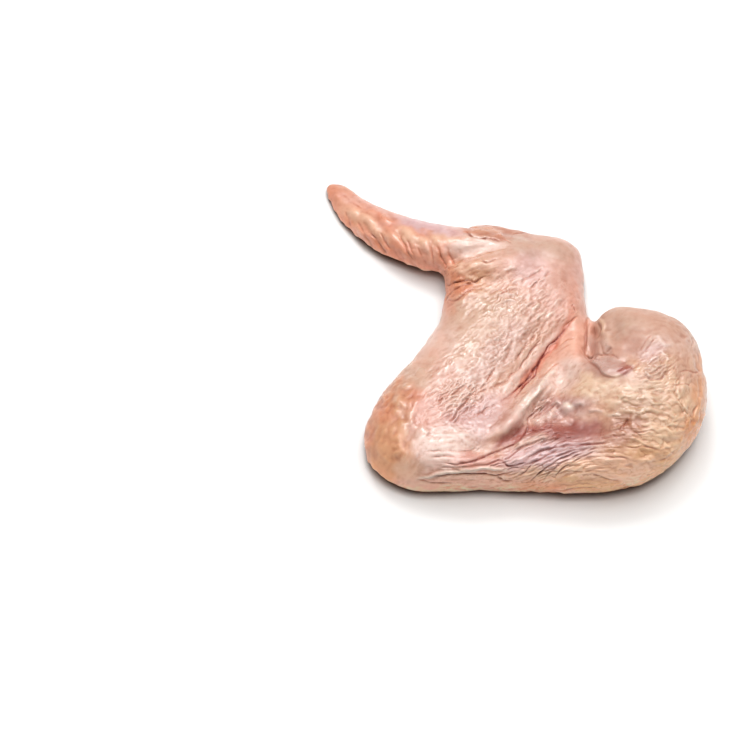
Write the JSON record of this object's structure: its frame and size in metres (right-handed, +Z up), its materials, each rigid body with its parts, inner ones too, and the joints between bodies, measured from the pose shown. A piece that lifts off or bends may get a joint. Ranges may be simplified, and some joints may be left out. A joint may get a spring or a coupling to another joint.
{
  "type": "chicken wing",
  "caption": "Raw chicken wing with its skin on, lying folded in a Z: pointed tip with a small thumb, flat, and drumette up to its cut shoulder.",
  "frame": {"origin": "on the table, under the middle of the wing's bounding box", "axes": "+X from the tip towards the shoulder, +Y from the elbow towards the wrist, +Z up from the table"},
  "size_m": [0.1208, 0.1188, 0.0273],
  "materials": {
    "skin": "moist raw skin, glossy in patches"
  },
  "bodies": {
    "root": {"wing": "skin"}
  },
  "joints": []
}
